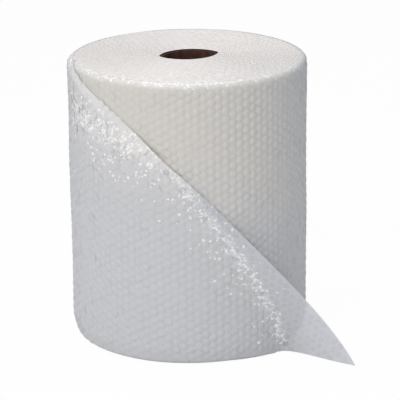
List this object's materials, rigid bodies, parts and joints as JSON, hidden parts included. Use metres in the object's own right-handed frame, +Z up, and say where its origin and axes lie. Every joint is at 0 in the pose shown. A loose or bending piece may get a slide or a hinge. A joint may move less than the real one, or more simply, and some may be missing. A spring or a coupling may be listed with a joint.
{
  "type": "bubble wrap roll",
  "caption": "Roll of air-bubble film standing on end, wound on a cardboard core, with its slant-cut outer end peeling off to the floor.",
  "frame": {"origin": "centre of the roll's base, on the core's axis", "axes": "+Z up along the roll, -Y towards the side the picture shows, +X to its right, where the loose corner reaches the floor"},
  "size_m": [0.492, 0.4229, 0.5],
  "materials": {
    "film": "soft gloss, clear to milky air-bubble polyethylene film",
    "cardboard": "matt brown spiral-wound cardboard"
  },
  "bodies": {
    "root": {"bubble_film": "film", "core_tube": "cardboard"}
  },
  "joints": []
}
